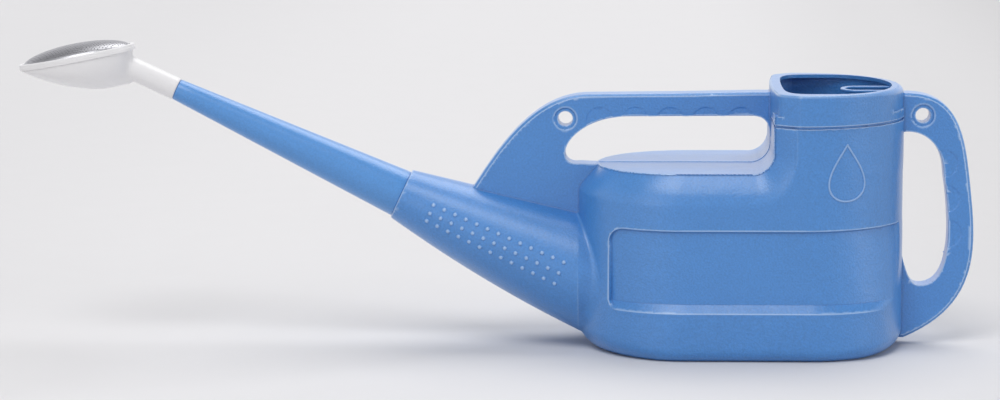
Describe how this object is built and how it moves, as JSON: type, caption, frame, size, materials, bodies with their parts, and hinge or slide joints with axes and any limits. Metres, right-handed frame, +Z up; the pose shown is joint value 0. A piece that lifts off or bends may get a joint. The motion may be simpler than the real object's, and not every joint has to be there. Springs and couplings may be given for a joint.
{
  "type": "watering can",
  "caption": "Long-spout watering can with a blow-moulded tank, two handles, a plug-in spout and a turning oval rose.",
  "frame": {"origin": "on the ground under the tank, on the plane of symmetry, midway along the tank's straight sides", "axes": "+X towards the rear handle and away from the spout, +Y to the side, +Z up"},
  "size_m": [0.7085, 0.154, 0.227],
  "materials": {
    "tank_blue": "satin blow-moulded polyethylene with a fine grain",
    "spout_blue": "satin moulded polyethylene",
    "rose_white": "smooth satin white",
    "rose_steel": "perforated stainless steel",
    "seal_rubber": "dark moulded rubber"
  },
  "bodies": {
    "tank": {"tank": "tank_blue"},
    "spout_seal": {"spout_seal": "seal_rubber"},
    "spout": {"spout": "spout_blue"},
    "rose_seal": {"rose_seal": "seal_rubber"},
    "rose": {"rose_body": "rose_white", "rose_rim": "rose_white", "rose_plate": "rose_steel"}
  },
  "joints": [
    {"name": "spout_pull", "type": "slide", "parent": "tank", "child": "spout_seal", "axis": [-0.9048, 0, 0.4258], "range_m": [0, 0.06]},
    {"name": "spout_turn", "type": "hinge", "parent": "spout_seal", "child": "spout", "pos_m": [-0.2534, 0, 0.1118], "axis": [-0.9048, 0, 0.4258], "continuous": true},
    {"name": "rose_pull", "type": "slide", "parent": "spout", "child": "rose_seal", "axis": [-0.9048, 0, 0.4258], "range_m": [0, 0.04]},
    {"name": "rose_turn", "type": "hinge", "parent": "rose_seal", "child": "rose", "pos_m": [-0.42034, 0, 0.19036], "axis": [-0.9048, 0, 0.4258], "continuous": true}
  ]
}
